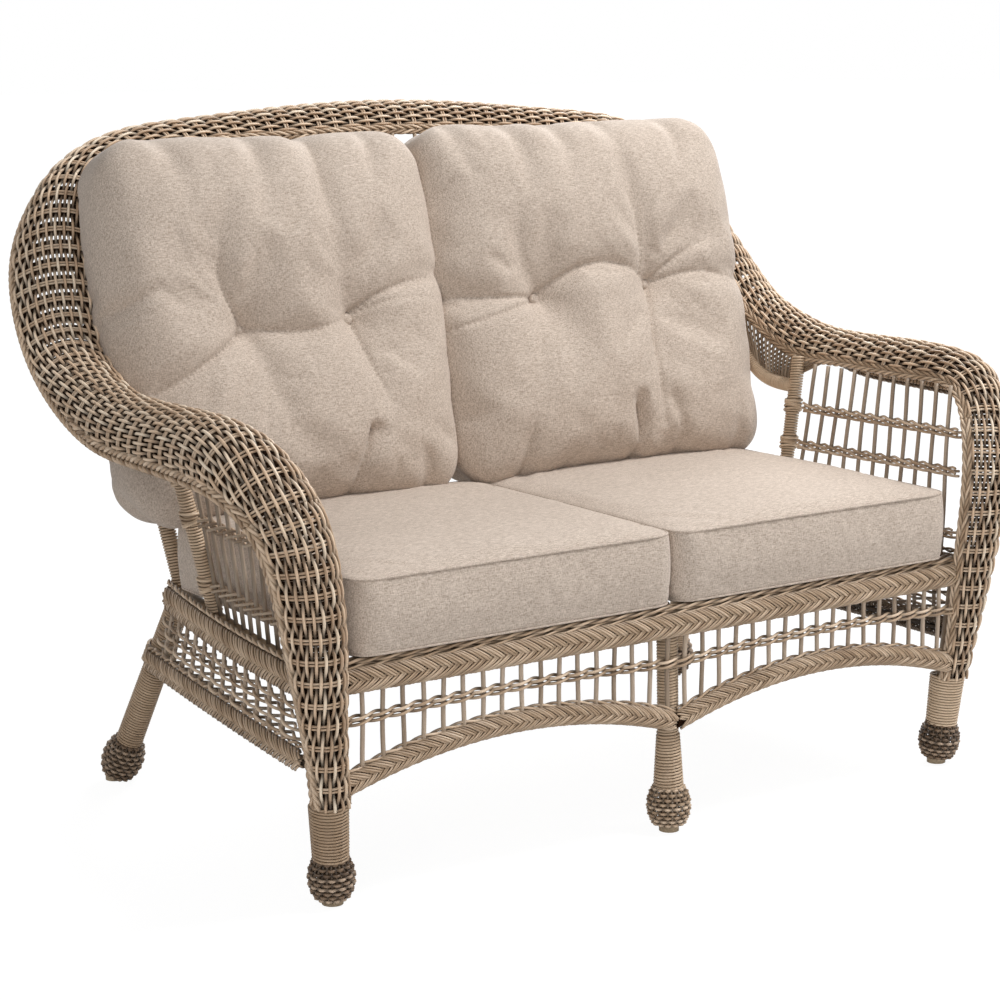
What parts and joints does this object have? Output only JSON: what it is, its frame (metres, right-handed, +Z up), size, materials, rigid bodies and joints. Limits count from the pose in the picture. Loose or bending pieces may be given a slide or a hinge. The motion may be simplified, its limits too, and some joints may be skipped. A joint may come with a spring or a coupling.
{
  "type": "patio loveseat",
  "caption": "Outdoor wicker loveseat with a high curved back, rolled woven arms, a scalloped front panel and loose boxed seat and tufted back cushions.",
  "frame": {"origin": "on the floor, on the left-right middle plane, under the middle of the whole object from its frontmost to its rearmost point", "axes": "+X to the right of someone who looks at the front, +Y from the front to the back, +Z up"},
  "size_m": [1.371, 0.852, 0.9949],
  "materials": {
    "woven_band": "thin grey-brown synthetic cane, satin",
    "braid": "braided cane, satin",
    "twisted_row": "two strands twisted round the spokes, satin",
    "wrapping": "cane wound in close turns, satin",
    "woven_foot": "cane woven over stakes, satin",
    "spoke": "plain round cane, satin",
    "pole": "smooth pole",
    "slat": "smooth pole",
    "glide": "moulded tip",
    "seat_cloth": "heathered linen-like weave",
    "back_cloth": "heathered linen-like weave",
    "button_cloth": "same cloth over a round button"
  },
  "bodies": {
    "frame": {"band_arm_left": "woven_band", "band_arm_right": "woven_band", "band_leg_left": "woven_band", "band_leg_right": "woven_band", "band_top": "woven_band", "band_wing_left": "woven_band", "band_wing_right": "woven_band", "braid_front": "braid", "braid_low_front": "braid", "braid_low_side_left": "braid", "braid_low_side_right": "braid", "braid_side_left": "braid", "braid_side_right": "braid", "foot_back_left": "woven_foot", "foot_back_right": "woven_foot", "foot_front_left": "woven_foot", "foot_front_right": "woven_foot", "foot_middle": "woven_foot", "glides": "glide", "leg_back_left": "pole", "leg_back_right": "pole", "leg_front_left": "pole", "leg_front_right": "pole", "leg_middle": "pole", "post_arm_left": "wrapping", "post_arm_right": "wrapping", "post_back_left": "wrapping", "post_back_right": "wrapping", "rail_back": "pole", "rail_front": "pole", "rail_side_left": "pole", "rail_side_right": "pole", "rope_front": "braid", "rows_arm_left": "twisted_row", "rows_arm_right": "twisted_row", "rows_back": "twisted_row", "rows_front": "twisted_row", "rows_side_left": "twisted_row", "rows_side_right": "twisted_row", "seat_slats": "slat", "spokes_arm_left": "spoke", "spokes_arm_right": "spoke", "spokes_back": "spoke", "spokes_front": "spoke", "spokes_side_left": "spoke", "spokes_side_right": "spoke", "tube_window_left": "wrapping", "tube_window_right": "wrapping", "wrap_back_left": "wrapping", "wrap_back_right": "wrapping", "wrap_front_left": "wrapping", "wrap_front_right": "wrapping", "wrap_middle": "wrapping"},
    "seat_cushion_left_body": {"seat_cushion_left": "seat_cloth"},
    "back_cushion_left_body": {"back_cushion_left": "back_cloth", "buttons_left": "button_cloth"},
    "seat_cushion_right_body": {"seat_cushion_right": "seat_cloth"},
    "back_cushion_right_body": {"back_cushion_right": "back_cloth", "buttons_right": "button_cloth"}
  },
  "joints": [
    {"name": "seat_slide_left", "type": "slide", "parent": "frame", "child": "seat_cushion_left_body", "axis": [0, -1, 0], "range_m": [0, 0.55]},
    {"name": "seat_slide_right", "type": "slide", "parent": "frame", "child": "seat_cushion_right_body", "axis": [0, -1, 0], "range_m": [0, 0.55]},
    {"name": "back_lift_left", "type": "slide", "parent": "frame", "child": "back_cushion_left_body", "axis": [0, -0.6, 0.8], "range_m": [0, 0.5]},
    {"name": "back_lift_right", "type": "slide", "parent": "frame", "child": "back_cushion_right_body", "axis": [0, -0.6, 0.8], "range_m": [0, 0.5]}
  ]
}
